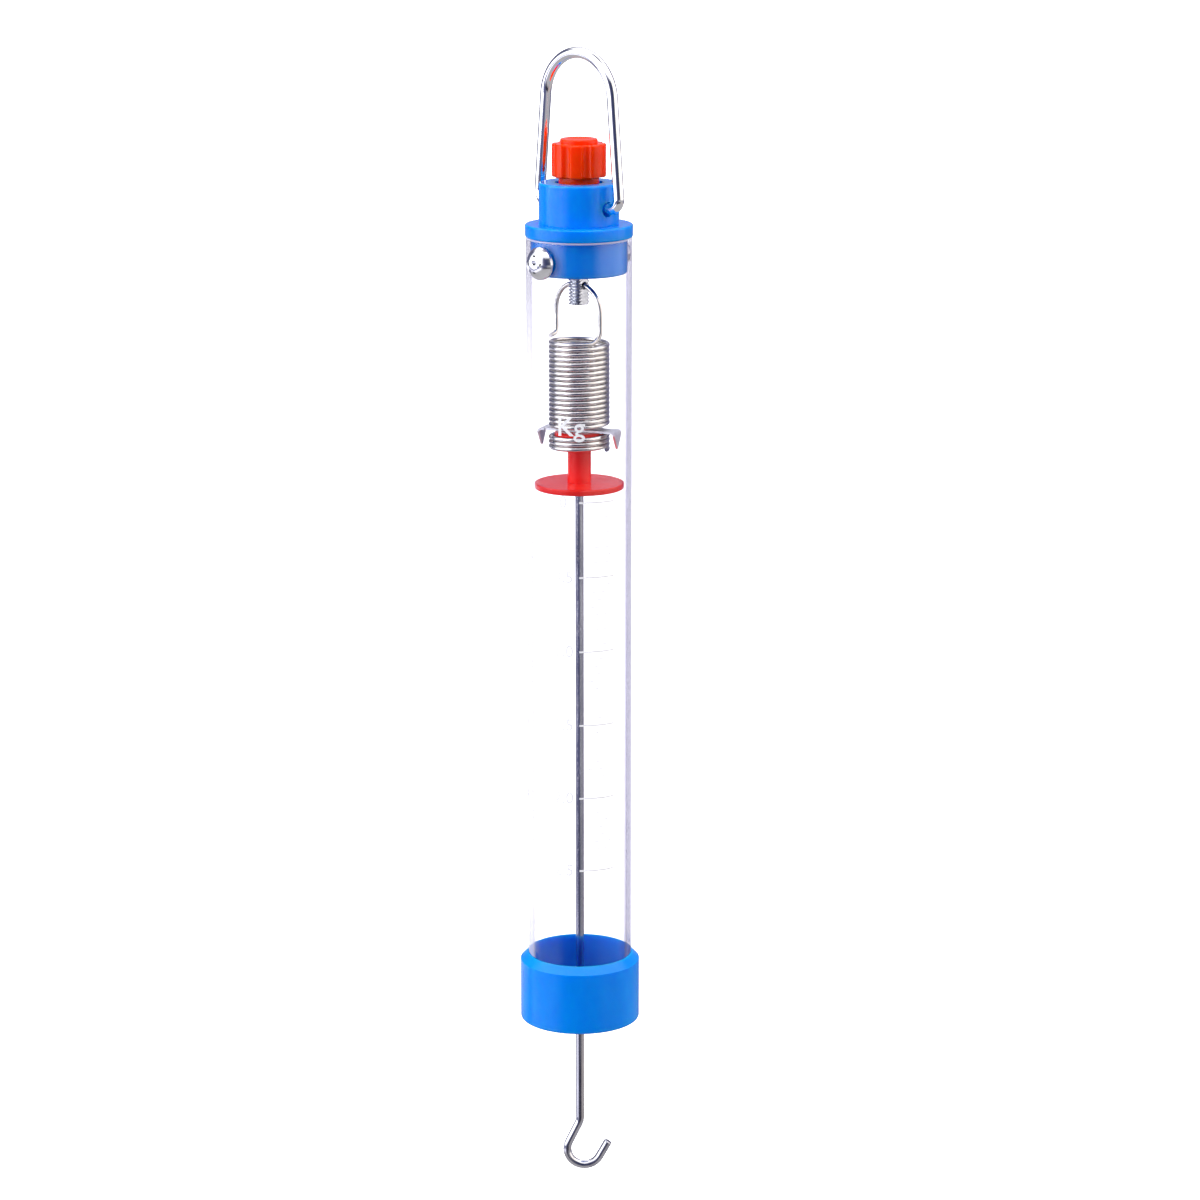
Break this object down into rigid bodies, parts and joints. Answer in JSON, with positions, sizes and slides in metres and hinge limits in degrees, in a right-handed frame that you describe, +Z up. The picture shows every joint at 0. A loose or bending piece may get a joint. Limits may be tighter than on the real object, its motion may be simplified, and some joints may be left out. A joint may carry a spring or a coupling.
{
  "type": "hanging spring scale",
  "caption": "Clear tubular hanging spring scale with a wire loop, a zero knob, a red indicator disc on an extension spring and a wire load hook.",
  "frame": {"origin": "underside of the suspension loop's crown, where a peg or hook carries the scale", "axes": "+Z up along the tube; X along the axis of the loop's two pivot pins; the cap screw beside the printed scale faces -Y"},
  "size_m": [0.0288, 0.03, 0.2754],
  "materials": {
    "chrome_wire": "polished",
    "chrome_screw": "polished",
    "rod_steel": "bright drawn wire",
    "spring_steel": "bright drawn wire",
    "plate_steel": "satin",
    "plated_steel": "zinc plated",
    "blue_plastic": "moulded, semi-gloss",
    "red_knob": "moulded, gloss",
    "red_indicator": "moulded, gloss",
    "clear_plastic": "clear, polished"
  },
  "bodies": {
    "loop": {"suspension_loop": "chrome_wire"},
    "housing": {"top_cap": "blue_plastic", "tube": "clear_plastic", "bottom_cap": "blue_plastic", "cap_screws": "chrome_screw"},
    "knob": {"zero_knob": "red_knob", "knob_nut": "plated_steel"},
    "carrier": {"adjusting_stud": "plated_steel", "spring": "spring_steel"},
    "plunger": {"indicator": "red_indicator", "anchor_plate": "plate_steel", "rod_nut": "plated_steel", "pull_rod": "rod_steel"}
  },
  "joints": [
    {"name": "loop_swing", "type": "hinge", "parent": "loop", "child": "housing", "pos_m": [0, 0, -0.034], "axis": [1, 0, 0], "range_deg": [-110, 110]},
    {"name": "stud_lift", "type": "slide", "parent": "housing", "child": "carrier", "axis": [0, 0, 1], "range_m": [-0.0016, 0.0016]},
    {"name": "knob_turn", "type": "hinge", "parent": "housing", "child": "knob", "pos_m": [0, 0, -0.024], "axis": [0, 0, 1], "range_deg": [-720, 720]},
    {"name": "indicator_pull", "type": "slide", "parent": "carrier", "child": "plunger", "axis": [0, 0, -1], "range_m": [0, 0.127], "stiffness_N_per_m": 273, "springref_m": -0.003, "deforming": ["spring"]}
  ],
  "couplings": [
    {"joint": "knob_turn", "follows": "stud_lift", "rad_per_m": -7854}
  ]
}
